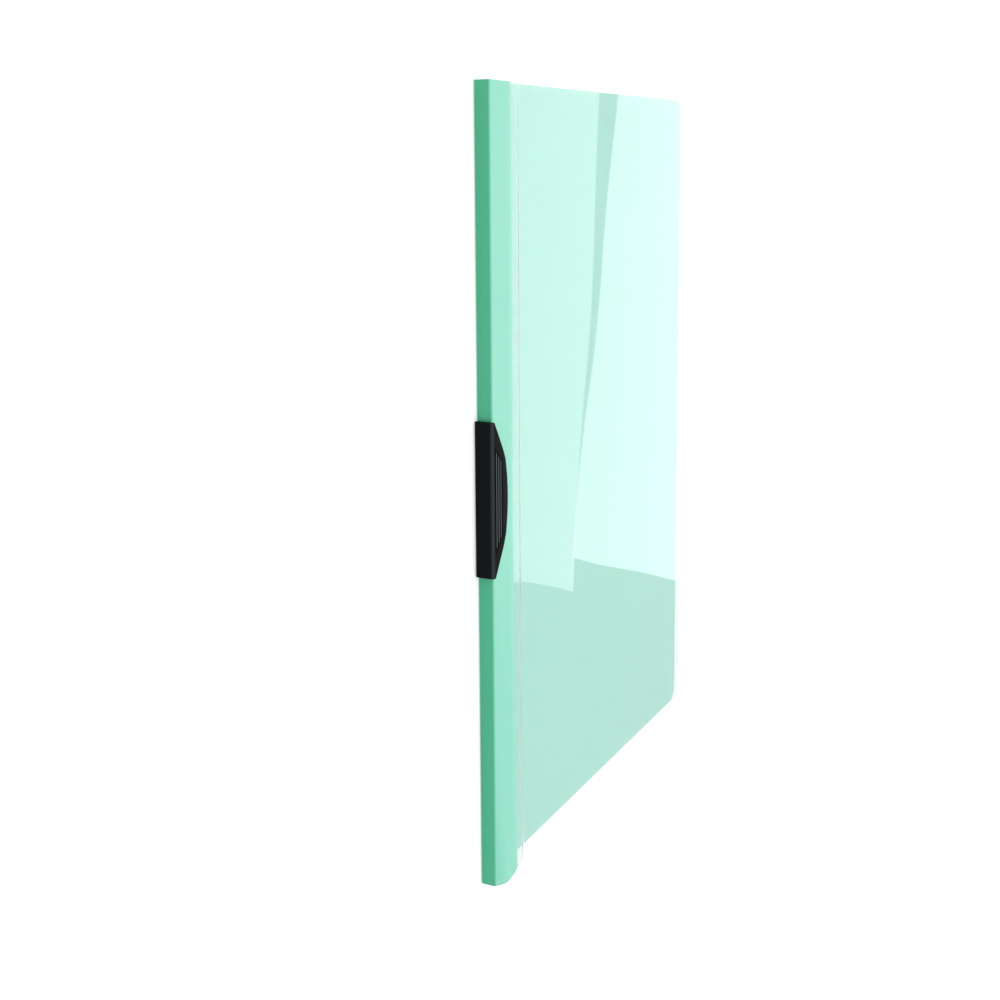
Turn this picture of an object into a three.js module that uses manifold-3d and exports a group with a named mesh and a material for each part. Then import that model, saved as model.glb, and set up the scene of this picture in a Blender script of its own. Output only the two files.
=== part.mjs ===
// A4 clip folder, lying closed on its back cover.
//
// One sheet of mint polypropylene is folded into the back cover, the narrow spine and the front
// strip. A clear front cover hinges at the end of that strip. A black clip with a D-shaped arm is
// hinged along the rear edge of the spine and swings out to let the papers in. Its fixed half, a
// base plate with a spring tongue, lies inside the folder and reaches the hinge through two slots.
//
// Millimetres, +Z up. X runs from the spine to the fore-edge and Y from the foot of the folder to
// its head. The origin is at the centre of the box that the folder fills, on the table.

import * as THREE from "three";
import { mergeVertices } from "three/addons/utils/BufferGeometryUtils.js";
import Module from "manifold-3d";

const wasm = await Module();
wasm.setup();

// Sheet: back cover, spine and front strip
const FOLDER_HEIGHT = 310;
const BACK_WIDTH = 219;
const SHEET_THICKNESS = 0.5;
const SPINE_WIDTH = 6.6;
const STRIP_WIDTH = 17;
const FOLD_RADIUS = 0.9;
const CORNER_RADIUS = 6;

// Score lines that let the spine and the strip bend
const SCORE_WIDTH = 0.5;
const SCORE_DEPTH = 0.12;
const STRIP_SCORE_PITCH = 2;
const SPINE_SCORE_COUNT = 3;

// Bow of the strip towards the foot, where the clip no longer holds it down, and of the cover beside it
const FLARE_START = 35;
const FLARE_POWER = 1.3;
const FLARE_STEPS = 12;
const FLARE_CREST_X = 5.5;
const FLARE_CREST = 2.5;
const FLARE_EDGE = 1.2;
const FLARE_SLOPE = 0.118;
const FLARE_FALL_SHIFT = 1;
const FLARE_REST_SHIFT = 1.5;

// Clear front cover
const COVER_THICKNESS = 0.3;
const COVER_OVERHANG = 4.5;
const COVER_GAP = 0.3;
const JOG_LEVEL = 6;
const JOG_LENGTH = 18;
const JOG_STEPS = 28;

// Swing clip: web over the spine and D-shaped arm over the strip
const CLIP_LENGTH = 60;
const CLIP_CLEARANCE = 0.3;
const WEB_THICKNESS = 2;
const WEB_CORNER_RADIUS = 1.5;
const ARM_THICKNESS = 1.3;
const ARM_TIP_THICKNESS = 0.7;
const ARM_REACH = 10.9;
const ARM_SHOULDER_REACH = 8.7;
const ARM_SHOULDER_HALF = 14.75;
const ARM_CREST = 5.4;
const ARM_TAPER_LEAD = 1;
const ARM_TIP_ROUND = 0.25;

// Finger grooves on the arm
const GROOVE_COUNT = 4;
const GROOVE_PITCH = 1.75;
const GROOVE_WIDTH = 0.9;
const GROOVE_DEPTH = 0.45;
const GROOVE_START = -0.55;
const GROOVE_HALF_LENGTH = 20.4;
const GROOVE_HALF_STEP = 1.6;

// Hinge along the rear edge of the spine
const PIN_RADIUS = 0.3;
const PIN_CLEARANCE = 0.06;
const KNUCKLE_RADIUS = 1;
const KNUCKLE_GAP = 0.2;
const EYE_RADIUS = 0.62;
const WEB_HEEL_ROUND = 0.9;
const TABLE_CLEARANCE = 0.05;
const LUG_LENGTH = 8;
const LUG_CENTRE = 18;
const LUG_THICKNESS = 0.8;
const PIN_END_COVER = 1.2;
const PIN_END_RECESS = 0.8;

// Clip base with its spring tongue
const BASE_THICKNESS = 1;
const BASE_HALF_LENGTH = 27;
const BASE_SHOULDER_HALF = 14;
const BASE_REACH = 12.6;
const BASE_SHOULDER_REACH = 10.2;
const BASE_FOLD_GAP = 0.3;
const TONGUE_THICKNESS = 0.6;
const TONGUE_BEND_RADIUS = 1.1;
const TONGUE_CREST = 5.6;
const TONGUE_TOP_GAP = 0.55;
const TONGUE_LIP = 2.4;
const TONGUE_LIP_DROP = 0.7;

// Flush rivets that hold the base to the back cover
const RIVET_X = 5.6;
const RIVET_SPACING = 20;
const RIVET_NECK_RADIUS = 1.2;
const RIVET_HEAD_RADIUS = 1.6;

const ROUND_SEGMENTS = 24;
const FOLD_SEGMENTS = 6;
const CURVE_SEGMENTS = 16;
const CUT_MARGIN = 1;
const MERGE_DISTANCE = 1e-5;

const MINT = 0x8fdcc0;
const BLACK = 0x1b1d1e;
const CLEAR = 0xd9f2ea;
const STEEL = 0xb9bcbf;

// Places that several parts share
const coverEdge = BACK_WIDTH + COVER_OVERHANG;
const boreRadius = PIN_RADIUS + PIN_CLEARANCE;
const reliefRadius = EYE_RADIUS + KNUCKLE_GAP;
const webInner = -CLIP_CLEARANCE;
const webOuter = webInner - WEB_THICKNESS;
const hingeX = -(KNUCKLE_RADIUS + KNUCKLE_GAP);
const hinge = { x: hingeX, z: TABLE_CLEARANCE + hingeX - webOuter };
const armUnder = SPINE_WIDTH + CLIP_CLEARANCE;
const armTop = armUnder + ARM_THICKNESS;
const clipHalf = CLIP_LENGTH / 2;
const flareTop = SPINE_WIDTH + FLARE_CREST + CUT_MARGIN;
const baseStart = FOLD_RADIUS + BASE_FOLD_GAP;
const rivetRow = [-RIVET_SPACING, 0, RIVET_SPACING];
const boxCentre = (webOuter + coverEdge) / 2;

// Geometry helpers

/** Extrudes a shape drawn in X and Z along Y, centred on Y = 0. */
function alongY(shape, length, curveSegments = CURVE_SEGMENTS) {
  const solid = new THREE.ExtrudeGeometry(shape, { depth: length, bevelEnabled: false, curveSegments });
  return solid.rotateX(Math.PI / 2).translate(0, length / 2, 0);
}

/** Extrudes a shape drawn in X and Y from one height to another. */
function alongZ(shape, low, high, curveSegments = CURVE_SEGMENTS) {
  const solid = new THREE.ExtrudeGeometry(shape, { depth: high - low, bevelEnabled: false, curveSegments });
  return solid.translate(0, 0, low);
}

/** A round bar along Y between two values of y, at the hinge line. */
function hingeBar(radius, from, to) {
  const bar = new THREE.CylinderGeometry(radius, radius, to - from, ROUND_SEGMENTS);
  return bar.translate(hinge.x, (from + to) / 2, hinge.z);
}

/** A box between two corners. */
function block(low, high) {
  const size = high.map((value, i) => value - low[i]);
  const centre = high.map((value, i) => (value + low[i]) / 2);
  return new THREE.BoxGeometry(...size).translate(...centre);
}

/** Joins sections of one length, lists of X and Z, at rising values of y into one closed geometry. */
function loft(sections) {
  const around = sections[0].points.length;
  const last = (sections.length - 1) * around;
  const positions = sections.flatMap(({ y, points }) => points.flatMap((p) => [p.x, y, p.y]));
  const index = [];
  for (let ring = 0; ring < last; ring += around) {
    for (let j = 0; j < around; j += 1) {
      const next = (j + 1) % around;
      const [a, b, c, d] = [ring + j, ring + next, ring + around + next, ring + around + j];
      index.push(a, d, c, a, c, b);
    }
  }
  for (const [a, b, c] of THREE.ShapeUtils.triangulateShape(sections[0].points, [])) {
    index.push(a, b, c);
  }
  for (const [a, b, c] of THREE.ShapeUtils.triangulateShape(sections.at(-1).points, [])) {
    index.push(last + a, last + c, last + b);
  }
  const geometry = new THREE.BufferGeometry();
  geometry.setAttribute("position", new THREE.Float32BufferAttribute(positions, 3));
  geometry.setIndex(index);
  return geometry;
}

/** Turns a closed geometry into a solid that can be cut and joined. */
function toSolid(geometry) {
  const bare = geometry.index ? geometry.toNonIndexed() : geometry.clone();
  for (const name of ["normal", "uv"]) {
    bare.deleteAttribute(name);
  }
  const merged = mergeVertices(bare, MERGE_DISTANCE);
  return new wasm.Manifold(
    new wasm.Mesh({
      numProp: 3,
      vertProperties: new Float32Array(merged.attributes.position.array),
      triVerts: new Uint32Array(merged.index.array),
    }),
  );
}

/** Turns a solid back into a geometry. */
function toGeometry(solid) {
  const mesh = solid.getMesh();
  const geometry = new THREE.BufferGeometry();
  geometry.setAttribute("position", new THREE.BufferAttribute(new Float32Array(mesh.vertProperties), 3));
  geometry.setIndex(new THREE.BufferAttribute(new Uint32Array(mesh.triVerts), 1));
  geometry.computeVertexNormals();
  return geometry;
}

/** Plan outline of a cover: square at the spine, rounded at both fore-edge corners. */
function coverPlan(from, to) {
  const half = FOLDER_HEIGHT / 2;
  const plan = new THREE.Shape();
  plan.moveTo(from, -half);
  plan.lineTo(to - CORNER_RADIUS, -half);
  plan.absarc(to - CORNER_RADIUS, -half + CORNER_RADIUS, CORNER_RADIUS, -Math.PI / 2, 0);
  plan.lineTo(to, half - CORNER_RADIUS);
  plan.absarc(to - CORNER_RADIUS, half - CORNER_RADIUS, CORNER_RADIUS, 0, Math.PI / 2);
  plan.lineTo(from, half);
  plan.closePath();
  return plan;
}

/** D-shaped plan: straight spine side, slanted ends and a shallow arc as its far edge. */
function dPlan(from, half, slantStart, shoulderReach, shoulderHalf, reach) {
  const rise = reach - shoulderReach;
  const radius = (shoulderHalf ** 2 + rise ** 2) / (2 * rise);
  const halfAngle = Math.asin(shoulderHalf / radius);
  const plan = new THREE.Shape();
  plan.moveTo(from, -half);
  plan.lineTo(slantStart, -half);
  plan.lineTo(shoulderReach, -shoulderHalf);
  plan.absarc(reach - radius, 0, radius, -halfAngle, halfAngle);
  plan.lineTo(slantStart, half);
  plan.lineTo(from, half);
  plan.closePath();
  return plan;
}

/** A countersunk rivet, or the hole for it where clearance is not zero. */
function rivet(y, clearance, low, high) {
  const neck = RIVET_NECK_RADIUS + clearance;
  const head = RIVET_HEAD_RADIUS + clearance;
  const cone = new THREE.CylinderGeometry(neck, head, high - low, ROUND_SEGMENTS);
  return cone.rotateX(Math.PI / 2).translate(RIVET_X, y, (low + high) / 2);
}

/** y ranges of the two lugs of the clip base. */
function lugSpans() {
  return [-1, 1].map((side) => [side * LUG_CENTRE - LUG_LENGTH / 2, side * LUG_CENTRE + LUG_LENGTH / 2]);
}

/** How much of the flare shows at y: none near the clip or above it, all of it at the foot. */
function flareAt(y) {
  const share = (-y - FLARE_START) / (FOLDER_HEIGHT / 2 - FLARE_START);
  return THREE.MathUtils.clamp(share, 0, 1) ** FLARE_POWER;
}

/** Sections from foot to head, close together where the strip flares. Each runs anticlockwise. */
function sectionsAlongY(sectionAt) {
  const half = FOLDER_HEIGHT / 2;
  const flaring = Array.from({ length: FLARE_STEPS + 1 }, (_, i) => i / FLARE_STEPS);
  const places = flaring.map((share) => -half + share * (half - FLARE_START));
  return [-half - CUT_MARGIN, ...places, half + CUT_MARGIN].map((y) => {
    const points = sectionAt(flareAt(y));
    return { y, points: THREE.ShapeUtils.isClockWise(points) ? points.reverse() : points };
  });
}

// Folded sheet

/** How far the fully flared strip is lifted at x. */
function stripLift(x) {
  if (x < FLARE_CREST_X) {
    return (FLARE_CREST * Math.max(x - FOLD_RADIUS, 0)) / (FLARE_CREST_X - FOLD_RADIUS);
  }
  const past = (x - FLARE_CREST_X) / (STRIP_WIDTH - FLARE_CREST_X);
  return FLARE_CREST + (FLARE_EDGE - FLARE_CREST) * past;
}

/** Section of the folded sheet, with its rounded folds and its score lines, at one flare. */
function sheetSection(flare) {
  const t = SHEET_THICKNESS;
  const r = FOLD_RADIUS;
  const top = SPINE_WIDTH;
  const end = BACK_WIDTH + CUT_MARGIN;
  const section = new THREE.Shape();
  section.moveTo(end, 0);
  section.lineTo(r, 0);
  section.absarc(r, r, r, -Math.PI / 2, -Math.PI, true);
  const spineStep = SPINE_WIDTH / (SPINE_SCORE_COUNT + 1);
  for (let i = 1; i <= SPINE_SCORE_COUNT; i += 1) {
    section.lineTo(0, i * spineStep - SCORE_WIDTH / 2);
    section.lineTo(SCORE_DEPTH, i * spineStep);
    section.lineTo(0, i * spineStep + SCORE_WIDTH / 2);
  }
  section.lineTo(0, top - r);
  section.absarc(r, top - r, r, Math.PI, Math.PI / 2, true);
  const scoreCount = Math.floor((STRIP_WIDTH - r - SCORE_WIDTH) / STRIP_SCORE_PITCH);
  const firstScore = STRIP_WIDTH - SCORE_WIDTH - (scoreCount - 0.5) * STRIP_SCORE_PITCH;
  for (let i = 0; i < scoreCount; i += 1) {
    const x = firstScore + i * STRIP_SCORE_PITCH;
    section.lineTo(x - SCORE_WIDTH / 2, top);
    section.lineTo(x, top - SCORE_DEPTH);
    section.lineTo(x + SCORE_WIDTH / 2, top);
  }
  section.lineTo(STRIP_WIDTH, top);
  section.lineTo(STRIP_WIDTH, top - t);
  for (let i = scoreCount - 1; i >= 0; i -= 1) {
    section.lineTo(firstScore + i * STRIP_SCORE_PITCH, top - t);
  }
  section.lineTo(r, top - t);
  section.absarc(r, top - r, r - t, Math.PI / 2, Math.PI);
  section.lineTo(t, r);
  section.absarc(r, r, r - t, Math.PI, 1.5 * Math.PI);
  section.lineTo(end, t);
  return section.getPoints(FOLD_SEGMENTS).map((point) => {
    const lift = point.y > SPINE_WIDTH / 2 ? flare * stripLift(point.x) : 0;
    return new THREE.Vector2(point.x, point.y + lift);
  });
}

/** Back cover, spine and front strip, with the two slots that the lugs pass through. */
function folderSheet() {
  const long = toSolid(loft(sectionsAlongY(sheetSection)));
  const plan = toSolid(alongZ(coverPlan(-CUT_MARGIN, BACK_WIDTH), -CUT_MARGIN, flareTop));
  let sheet = long.intersect(plan);
  const slotTop = hinge.z + LUG_THICKNESS / 2 + CLIP_CLEARANCE;
  for (const [from, to] of lugSpans()) {
    const low = [-CUT_MARGIN, from - KNUCKLE_GAP, -CUT_MARGIN];
    const high = [FOLD_RADIUS, to + KNUCKLE_GAP, slotTop];
    sheet = sheet.subtract(toSolid(block(low, high)));
  }
  for (const y of rivetRow) {
    sheet = sheet.subtract(toSolid(rivet(y, CLIP_CLEARANCE, -CUT_MARGIN, SHEET_THICKNESS + CUT_MARGIN)));
  }
  return toGeometry(sheet);
}

// Clear front cover

/**
 * Section of the front cover at one flare: it leaves the strip's end nearly level, falls to the back
 * cover along a smooth S and runs flat.
 */
function coverSection(flare) {
  const from = STRIP_WIDTH + CLIP_CLEARANCE;
  const high = SPINE_WIDTH - SHEET_THICKNESS / 2;
  const low = SHEET_THICKNESS + COVER_GAP + COVER_THICKNESS / 2;
  const fallStart = from + JOG_LEVEL + flare * FLARE_FALL_SHIFT;
  const fallEnd = from + JOG_LENGTH + flare * FLARE_REST_SHIFT;
  const places = Array.from({ length: JOG_STEPS + 1 }, (_, i) => from + (i * (fallEnd - from)) / JOG_STEPS);
  const middle = [...places, coverEdge + CUT_MARGIN].map((x) => {
    const lead = high + flare * (FLARE_EDGE - FLARE_SLOPE * (x - from));
    const fallen = THREE.MathUtils.smoothstep(x, fallStart, fallEnd);
    return new THREE.Vector2(x, lead + (low - lead) * fallen);
  });
  const side = (offset) => middle.map(({ x, y }) => new THREE.Vector2(x, y + offset));
  return [...side(-COVER_THICKNESS / 2), ...side(COVER_THICKNESS / 2).reverse()];
}

/** Front cover with rounded fore-edge corners. */
function frontCover() {
  const long = toSolid(loft(sectionsAlongY(coverSection)));
  const plan = toSolid(alongZ(coverPlan(0, coverEdge), -CUT_MARGIN, flareTop));
  return toGeometry(long.intersect(plan));
}

// Swing clip

/** Section of the clip: rounded heel at the hinge, web, rounded corner and tapering arm. */
function clipSection() {
  const corner = WEB_CORNER_RADIUS;
  const inside = CLIP_CLEARANCE + FOLD_RADIUS;
  const tipTop = armUnder + ARM_TIP_THICKNESS;
  const round = ARM_TIP_ROUND;
  const heel = WEB_HEEL_ROUND;
  const foot = hinge.z - KNUCKLE_RADIUS;
  const section = new THREE.Shape();
  section.moveTo(hinge.x, foot);
  section.lineTo(webOuter + heel, foot);
  section.absarc(webOuter + heel, foot + heel, heel, -Math.PI / 2, -Math.PI, true);
  section.lineTo(webOuter, armTop - corner);
  section.absarc(webOuter + corner, armTop - corner, corner, Math.PI, Math.PI / 2, true);
  section.lineTo(ARM_CREST, armTop);
  const taperX = (ARM_CREST + ARM_REACH) / 2 + ARM_TAPER_LEAD;
  section.quadraticCurveTo(taperX, armTop, ARM_REACH - round, tipTop);
  section.lineTo(ARM_REACH, tipTop - round);
  section.lineTo(ARM_REACH, armUnder + round);
  section.lineTo(ARM_REACH - round, armUnder);
  section.lineTo(webInner + inside, armUnder);
  section.absarc(webInner + inside, armUnder - inside, inside, Math.PI / 2, Math.PI);
  section.lineTo(webInner, hinge.z);
  section.closePath();
  return section;
}

/** Web and D-shaped arm, with finger grooves, hinge knuckles and the bore for the pin. */
function swingClip() {
  const angle = toSolid(alongY(clipSection(), CLIP_LENGTH));
  const dShape = dPlan(
    webOuter - CUT_MARGIN, clipHalf + CUT_MARGIN, webOuter + WEB_CORNER_RADIUS,
    ARM_SHOULDER_REACH, ARM_SHOULDER_HALF, ARM_REACH,
  );
  let clip = angle.intersect(toSolid(alongZ(dShape, -CUT_MARGIN, armTop + CUT_MARGIN)));
  clip = clip.add(toSolid(hingeBar(KNUCKLE_RADIUS, -clipHalf, clipHalf)));
  for (let i = 0; i < GROOVE_COUNT; i += 1) {
    const x = GROOVE_START + i * GROOVE_PITCH;
    const half = GROOVE_HALF_LENGTH - i * GROOVE_HALF_STEP;
    const low = [x - GROOVE_WIDTH / 2, -half, armTop - GROOVE_DEPTH];
    const high = [x + GROOVE_WIDTH / 2, half, armTop + CUT_MARGIN];
    clip = clip.subtract(toSolid(block(low, high)));
  }
  const passage = LUG_THICKNESS / 2 + KNUCKLE_GAP;
  for (const [from, to] of lugSpans()) {
    const low = [hinge.x - passage, from - KNUCKLE_GAP, -CUT_MARGIN];
    const high = [FOLD_RADIUS, to + KNUCKLE_GAP, hinge.z + passage];
    clip = clip.subtract(toSolid(hingeBar(reliefRadius, from - KNUCKLE_GAP, to + KNUCKLE_GAP)));
    clip = clip.subtract(toSolid(block(low, high)));
  }
  clip = clip.subtract(toSolid(hingeBar(boreRadius, -clipHalf + PIN_END_COVER, clipHalf + CUT_MARGIN)));
  return toGeometry(clip);
}

// Clip base

/** Section of the base: flat plate, hairpin bend and a tongue that rises back towards the spine. */
function baseSection() {
  const t = TONGUE_THICKNESS;
  const bend = TONGUE_BEND_RADIUS;
  const floor = SHEET_THICKNESS;
  const plateTop = floor + BASE_THICKNESS;
  const bendX = BASE_REACH - bend;
  const crestTop = SPINE_WIDTH - SHEET_THICKNESS - TONGUE_TOP_GAP;
  const lipX = TONGUE_CREST - TONGUE_LIP;
  const lipTop = crestTop - TONGUE_LIP_DROP;
  const section = new THREE.Shape();
  section.moveTo(baseStart, floor);
  section.lineTo(bendX, floor);
  section.absarc(bendX, floor + bend, bend, -Math.PI / 2, Math.PI / 2);
  section.quadraticCurveTo(TONGUE_CREST + TONGUE_LIP, crestTop, TONGUE_CREST, crestTop);
  section.quadraticCurveTo(TONGUE_CREST - TONGUE_LIP / 2, crestTop, lipX, lipTop);
  section.lineTo(lipX, lipTop - t);
  section.quadraticCurveTo(TONGUE_CREST - TONGUE_LIP / 2, crestTop - t, TONGUE_CREST, crestTop - t);
  section.quadraticCurveTo(TONGUE_CREST + TONGUE_LIP, crestTop - t, bendX - t, floor + 2 * bend - t);
  section.lineTo(bendX - t, plateTop);
  section.lineTo(baseStart, plateTop);
  section.closePath();
  return section;
}

/** Base plate, spring tongue and the two lugs that carry the hinge pin. */
function clipBase() {
  const body = toSolid(alongY(baseSection(), 2 * BASE_HALF_LENGTH));
  const dShape = dPlan(
    0, BASE_HALF_LENGTH + CUT_MARGIN, baseStart + BASE_THICKNESS,
    BASE_SHOULDER_REACH, BASE_SHOULDER_HALF, BASE_REACH,
  );
  let base = body.intersect(toSolid(alongZ(dShape, 0, SPINE_WIDTH)));
  for (const [from, to] of lugSpans()) {
    const low = [hinge.x, from, hinge.z - LUG_THICKNESS / 2];
    const high = [baseStart + BASE_THICKNESS, to, hinge.z + LUG_THICKNESS / 2];
    base = base.add(toSolid(block(low, high)));
    base = base.add(toSolid(hingeBar(EYE_RADIUS, from, to)));
    base = base.subtract(toSolid(hingeBar(boreRadius, from - CUT_MARGIN, to + CUT_MARGIN)));
  }
  for (const y of rivetRow) {
    base = base.add(toSolid(rivet(y, 0, 0, SHEET_THICKNESS)));
  }
  return toGeometry(base);
}

/** Steel pin through the knuckles of the clip and the lugs of the base. */
function hingePin() {
  const from = -clipHalf + PIN_END_COVER + PIN_CLEARANCE;
  return hingeBar(PIN_RADIUS, from, clipHalf - PIN_END_RECESS);
}

// Scene

function plastic(color, roughness) {
  return new THREE.MeshStandardMaterial({ color, roughness, metalness: 0 });
}

const mintPolypropylene = plastic(MINT, 0.4);
const blackPlastic = plastic(BLACK, 0.5);
const steelWire = new THREE.MeshStandardMaterial({ color: STEEL, roughness: 0.3, metalness: 1 });
const clearFilm = plastic(CLEAR, 0.1);
clearFilm.transparent = true;
clearFilm.opacity = 0.35;

const parts = [
  ["folder_sheet", folderSheet(), mintPolypropylene],
  ["front_cover", frontCover(), clearFilm],
  ["swing_clip", swingClip(), blackPlastic],
  ["clip_base", clipBase(), blackPlastic],
  ["hinge_pin", hingePin(), steelWire],
];

const folder = new THREE.Group();
for (const [name, geometry, material] of parts) {
  const mesh = new THREE.Mesh(geometry, material);
  mesh.name = name;
  mesh.position.x = -boxCentre;
  folder.add(mesh);
}

export default folder;
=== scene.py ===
"""Visual model of an A4 clip folder, lying closed on its back cover.

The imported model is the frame. Each piece here is drawn in folder coordinates: millimetres, x from the
spine's outer face to the fore-edge, y from mid-height towards the head, and z up from the table. One
function turns them into metres in the row frame.
"""

import logging
import math
from abc import ABC, abstractmethod
from dataclasses import dataclass, field
from enum import Enum
from typing import Any, Callable, ClassVar, Sequence

import bpy
import numpy as np
from mathutils import Matrix, Vector


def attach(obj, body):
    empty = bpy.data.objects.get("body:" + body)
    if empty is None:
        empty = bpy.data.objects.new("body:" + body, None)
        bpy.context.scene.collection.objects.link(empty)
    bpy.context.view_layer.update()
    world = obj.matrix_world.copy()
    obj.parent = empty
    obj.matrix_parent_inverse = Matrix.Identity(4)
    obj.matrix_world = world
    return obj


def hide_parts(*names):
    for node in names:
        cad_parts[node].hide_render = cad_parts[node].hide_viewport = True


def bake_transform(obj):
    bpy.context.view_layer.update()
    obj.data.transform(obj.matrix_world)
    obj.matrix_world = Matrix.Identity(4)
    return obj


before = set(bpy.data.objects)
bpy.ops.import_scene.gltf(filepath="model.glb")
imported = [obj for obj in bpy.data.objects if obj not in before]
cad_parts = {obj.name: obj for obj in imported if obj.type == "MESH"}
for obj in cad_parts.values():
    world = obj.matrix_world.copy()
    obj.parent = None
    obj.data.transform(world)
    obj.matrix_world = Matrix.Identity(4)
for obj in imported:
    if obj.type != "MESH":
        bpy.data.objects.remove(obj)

logger = logging.getLogger("clip_folder")

Array = np.ndarray
Field = Callable[[Array, Array, Array], Array]

MM = 0.001
ROUND_STEPS = 40
NEAR_ZERO = 1e-7
SETTLING_STEPS = 2
PROBE = 0.01
LONGEST_MOVE = 0.05
WHITE = (1.0, 1.0, 1.0, 1.0)


@dataclass(frozen=True)
class FolderSize:
    """Sizes that several pieces share, in millimetres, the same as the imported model's."""

    height: float = 310.0
    back_width: float = 219.0
    cover_edge: float = 223.5
    spine: float = 6.6
    strip: float = 17.0
    sheet: float = 0.5
    fold: float = 0.9
    corner: float = 6.0
    film: float = 0.3
    jog_level: float = 6.0
    jog: float = 18.0
    clip_outer: float = -2.3
    clip_inner: float = -0.3
    clip_top: float = 8.2
    clip_under: float = 6.9
    clip_half: float = 30.0
    hinge_x: float = -1.2
    hinge_z: float = 1.15
    knuckle: float = 1.0
    eye: float = 0.62
    bore: float = 0.36
    hinge_gap: float = 0.2
    lug_half: float = 4.0
    lug_centre: float = 18.0
    lug_thickness: float = 0.8
    rivet_x: float = 5.6
    rivet_y: float = 20.0

    @property
    def half(self) -> float:
        """Half the folder's height."""
        return self.height / 2

    @property
    def centre(self) -> float:
        """The x that the row frame's origin lies under."""
        return (self.clip_outer + self.cover_edge) / 2

    @property
    def rivets(self) -> list[tuple[float, float, float]]:
        """The points of the table under the three rivets."""
        return [(self.rivet_x, y, 0.0) for y in (-self.rivet_y, 0.0, self.rivet_y)]


SIZE = FolderSize()


@dataclass(frozen=True)
class FootFlare:
    """How strip and film stand up towards the foot, where the clip no longer holds them, in mm."""

    start: float = 35.0
    power: float = 1.3
    crest_x: float = 5.5
    crest: float = 2.5
    edge: float = 1.2
    edge_power: float = 1.5
    slope: float = 0.118
    fall_shift: float = 1.0
    rest_shift: float = 1.5

    def share(self, y: Array) -> Array:
        """How much of the flare shows at y: a power of the way from its start to the foot."""
        return np.clip((-y - self.start) / (SIZE.half - self.start), 0.0, 1.0) ** self.power

    def lift(self, x: Array) -> Array:
        """How far the fully flared strip is lifted.

        A quarter of a sine wave rises from the fold to the crest. From there the lift falls by a power
        of the way to what is left at the free edge.

        Args:
            x: places across the strip.

        Returns:
            Millimetres.
        """
        rise = np.clip((x - SIZE.fold) / (self.crest_x - SIZE.fold), 0.0, 1.0)
        past = np.clip((x - self.crest_x) / (SIZE.strip - self.crest_x), 0.0, 1.0)
        return self.crest * np.sin(np.pi / 2 * rise) - (self.crest - self.edge) * past**self.edge_power


FLARE = FootFlare()


def row(x: Array, y: Array, z: Array) -> Array:
    """Turns folder coordinates in millimetres into metres in the row frame.

    Args:
        x, y, z: arrays of one shape.

    Returns:
        The points, as an array of three columns.
    """
    stacked = np.stack(np.broadcast_arrays(x - SIZE.centre, y, z), axis=-1)
    return stacked.reshape(-1, 3).astype(float) * MM


def smoothstep(low: float, high: float, value: Array) -> Array:
    """Rises smoothly from 0 at low to 1 at high.

    Args:
        low, high: ends of the rise.
        value: where it is wanted.

    Returns:
        Three times the square less twice the cube of the share of the way, held between 0 and 1.
    """
    share = np.clip((value - low) / (high - low), 0.0, 1.0)
    return share * share * (3.0 - 2.0 * share)


def linear(code: str) -> tuple[float, float, float, float]:
    """Turns an sRGB hex code into linear colour.

    Args:
        code: such as "#A0E8D2".

    Returns:
        Red, green, blue and an alpha of 1.
    """
    values = [int(code[i : i + 2], 16) / 255.0 for i in (1, 3, 5)]
    lit = [v / 12.92 if v <= 0.04045 else ((v + 0.055) / 1.055) ** 2.4 for v in values]
    return (lit[0], lit[1], lit[2], 1.0)


# Meshes


def make_object(
    name: str,
    points: Array,
    faces: Sequence[Sequence[int]] | Array,
    attributes: dict[str, Array] | None = None,
) -> bpy.types.Object:
    """Makes a smooth-shaded object from points and faces worked out as whole arrays.

    Args:
        name: the piece's name.
        points: metres in the row frame, three columns.
        faces: rows of vertex numbers, all three or four long.
        attributes: a value for each point, by attribute name.

    Returns:
        The linked object.
    """
    mesh = bpy.data.meshes.new(name)
    quads = np.asarray(faces, dtype=np.int32)
    mesh.vertices.add(len(points))
    mesh.vertices.foreach_set("co", np.ascontiguousarray(points, dtype=np.float32).ravel())
    mesh.loops.add(quads.size)
    mesh.loops.foreach_set("vertex_index", quads.ravel())
    mesh.polygons.add(len(quads))
    mesh.polygons.foreach_set("loop_start", np.arange(len(quads), dtype=np.int32) * quads.shape[1])
    mesh.update(calc_edges=True)
    mesh.polygons.foreach_set("use_smooth", np.ones(len(quads), dtype=bool))
    for key, values in (attributes or {}).items():
        layer = mesh.attributes.new(key, "FLOAT", "POINT")
        layer.data.foreach_set("value", np.ascontiguousarray(values, dtype=np.float32).ravel())
    mesh.validate()
    result = bpy.data.objects.new(name, mesh)
    bpy.context.scene.collection.objects.link(result)
    return result


def tube_faces(rings: int, around: int) -> Array:
    """Faces of a closed tube whose ends are shut by ladders of quads.

    Ring r holds the points r * around to (r + 1) * around - 1. The first half of each ring is one side
    of a thin section and the second half, backwards, is the other, so an end is a ladder between them.

    Args:
        rings: number of sections.
        around: even number of points in a section.

    Returns:
        Quads, as rows of four vertex numbers, turned so that a ring that runs anticlockwise, seen
        from the last ring, has its faces pointing out.
    """
    ring = np.arange(rings - 1)[:, None] * around
    spot = np.arange(around)[None, :]
    after = (spot + 1) % around
    side = np.stack([ring + spot, ring + after, ring + around + after, ring + around + spot], axis=-1)
    step = np.arange(around // 2 - 1)
    mirror = around - 1 - step
    first = np.stack([step, mirror, mirror - 1, step + 1], axis=-1)
    last = np.stack([step + 1, mirror - 1, mirror, step], axis=-1) + (rings - 1) * around
    return np.concatenate([side.reshape(-1, 4), first, last])


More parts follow.
